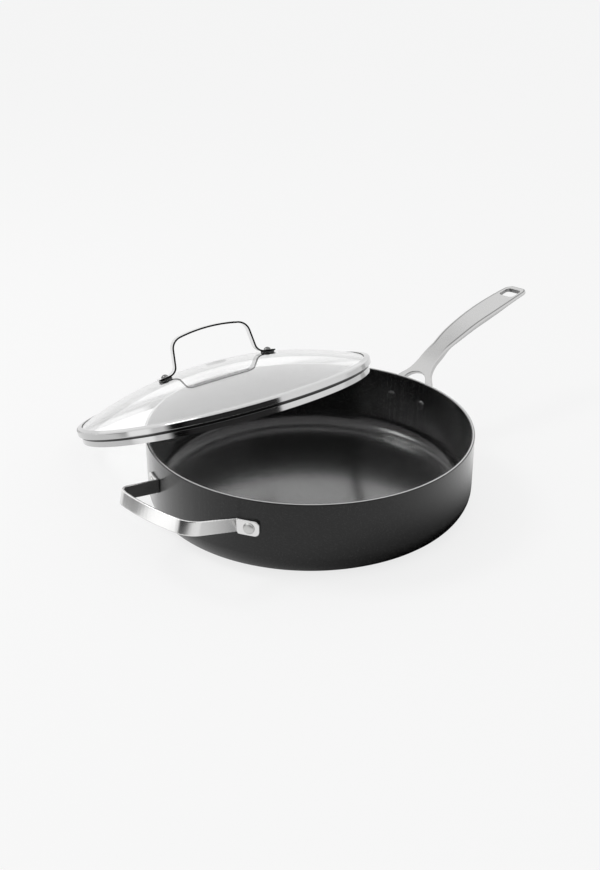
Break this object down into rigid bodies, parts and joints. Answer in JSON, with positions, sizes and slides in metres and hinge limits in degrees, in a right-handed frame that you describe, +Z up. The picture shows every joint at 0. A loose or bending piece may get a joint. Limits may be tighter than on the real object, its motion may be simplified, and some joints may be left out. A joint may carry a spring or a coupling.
{
  "type": "saute pan with lid",
  "caption": "Round straight-walled saute pan with a forked long handle and a helper loop handle, and a domed glass lid that leans on its rim.",
  "frame": {"origin": "centre of the pan's flat base, on the surface that it stands on", "axes": "+Z up along the pan's axis, +X from that axis along the long handle, +Y to the side on which the lid leans"},
  "size_m": [0.5416, 0.4152, 0.1295],
  "materials": {
    "pan_body": "near-black hard-anodised outside with a fine sparkle, black non-stick coating inside, bare rim",
    "cast_handle": "satin cast stainless steel",
    "helper_strip": "satin stainless steel strip",
    "pan_rivet": "satin outside, black coating on the head inside the pan",
    "lid_glass": "clear tempered glass",
    "lid_ring": "bright rolled stainless steel sheet",
    "lid_bedding": "translucent grey sealant",
    "lid_strap": "satin stainless steel strap",
    "lid_bushing": "matte black silicone",
    "lid_washer": "satin stainless steel",
    "lid_rivet": "dark polished steel"
  },
  "bodies": {
    "pan": {"pan_shell": "pan_body", "long_handle": "cast_handle", "long_handle_rivet_left": "pan_rivet", "long_handle_rivet_right": "pan_rivet", "helper_handle": "helper_strip", "helper_handle_rivet_left": "pan_rivet", "helper_handle_rivet_right": "pan_rivet"},
    "lid": {"lid_glass": "lid_glass", "lid_rim": "lid_ring", "lid_bead": "lid_bedding", "lid_handle": "lid_strap", "lid_handle_bushing_left": "lid_bushing", "lid_handle_bushing_right": "lid_bushing", "lid_handle_washer_left": "lid_washer", "lid_handle_washer_right": "lid_washer", "lid_handle_rivet_left": "lid_rivet", "lid_handle_rivet_right": "lid_rivet"}
  },
  "joints": [
    {"name": "lid_lift", "type": "slide", "parent": "pan", "child": "lid", "axis": [0, 0, 1], "range_m": [0, 0.2]}
  ]
}
